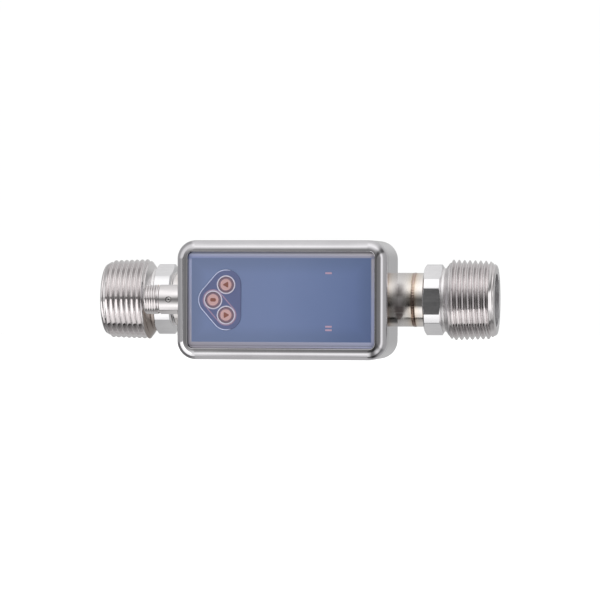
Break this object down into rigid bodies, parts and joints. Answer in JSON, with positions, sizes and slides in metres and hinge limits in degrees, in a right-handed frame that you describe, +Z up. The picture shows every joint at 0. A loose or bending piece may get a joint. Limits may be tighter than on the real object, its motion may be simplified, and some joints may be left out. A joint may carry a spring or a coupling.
{
  "type": "ultrasonic flow sensor",
  "caption": "In-line ultrasonic flow sensor: a steel measuring pipe with threaded ends carries a rounded steel box with a blue window, push keys and a round plug connector.",
  "frame": {"origin": "on the axis of the flow bore, halfway between the two end faces", "axes": "+X along the pipe from the inlet to the outlet, the window and keys face -Y, +Z up"},
  "size_m": [0.163, 0.067, 0.0476],
  "materials": {
    "stainless_polished": "bright polished stainless steel with faint grain",
    "stainless_turned": "bright turned stainless steel with fine tool rings",
    "stainless_pipe": "ground stainless steel tube",
    "stainless_screw": "satin stainless steel",
    "weld_tint": "weld bead with straw and brown heat tint",
    "rubber_black": "matte black rubber",
    "window_blue": "glossy window over a slate blue layer",
    "keypad_blue": "satin darker blue",
    "key_rim": "pale grey ring",
    "key_orange": "satin pinkish orange",
    "mark_red": "pale red translucent bar",
    "clear_plastic": "clear moulded plastic",
    "white_plastic": "pale lamp body",
    "display_glass": "dark display glass",
    "flex_film": "amber flexible circuit",
    "black_plastic": "matte black plastic",
    "circuit_board": "green solder mask",
    "brass_plain": "turned brass",
    "wedge_plastic": "tan engineering plastic",
    "piezo_ceramic": "pale ceramic",
    "backing_resin": "dark damping resin",
    "lead_insulation": "soft insulated wire",
    "gold_pin": "gold plated contact",
    "index_dot": "dark grey index dot"
  },
  "bodies": {
    "meter": {"front_bezel": "stainless_polished", "housing_shell": "stainless_polished", "housing_seal": "rubber_black", "housing_screws": "stainless_screw", "measuring_pipe": "stainless_pipe", "inlet_fitting": "stainless_turned", "outlet_fitting": "stainless_turned", "inlet_weld": "weld_tint", "outlet_weld": "weld_tint", "pipe_saddle": "stainless_pipe", "display_lens": "window_blue", "lens_gasket": "rubber_black", "keypad_pad": "keypad_blue", "key_rims": "key_rim", "status_marks": "mark_red", "light_guides": "clear_plastic", "status_leds": "white_plastic", "display_module": "display_glass", "display_flex": "flex_film", "electronics_carrier": "black_plastic", "display_board": "circuit_board", "tactile_switches": "black_plastic", "main_board": "circuit_board", "board_chips": "black_plastic", "board_standoffs": "brass_plain", "board_screws": "stainless_screw", "mezzanine_connector": "black_plastic", "upstream_wedge": "wedge_plastic", "downstream_wedge": "wedge_plastic", "upstream_piezo": "piezo_ceramic", "downstream_piezo": "piezo_ceramic", "upstream_backing": "backing_resin", "downstream_backing": "backing_resin", "transducer_clamp": "stainless_screw", "clamp_screws": "stainless_screw", "temperature_sensor": "piezo_ceramic", "transducer_leads": "lead_insulation", "sensor_leads": "lead_insulation", "connector_shell": "stainless_turned", "connector_insert": "black_plastic", "connector_pins": "gold_pin", "connector_oring": "rubber_black", "connector_nut": "stainless_turned", "connector_index_pin": "index_dot", "connector_wires": "lead_insulation"},
    "back_key": {"key_back": "key_orange"},
    "enter_key": {"key_enter": "key_orange"},
    "forward_key": {"key_forward": "key_orange"}
  },
  "joints": [
    {"name": "back_key_press", "type": "slide", "parent": "meter", "child": "back_key", "axis": [0, 1, 0], "range_m": [0, 0.0004], "stiffness_N_per_m": 2500},
    {"name": "enter_key_press", "type": "slide", "parent": "meter", "child": "enter_key", "axis": [0, 1, 0], "range_m": [0, 0.0004], "stiffness_N_per_m": 2500},
    {"name": "forward_key_press", "type": "slide", "parent": "meter", "child": "forward_key", "axis": [0, 1, 0], "range_m": [0, 0.0004], "stiffness_N_per_m": 2500}
  ]
}
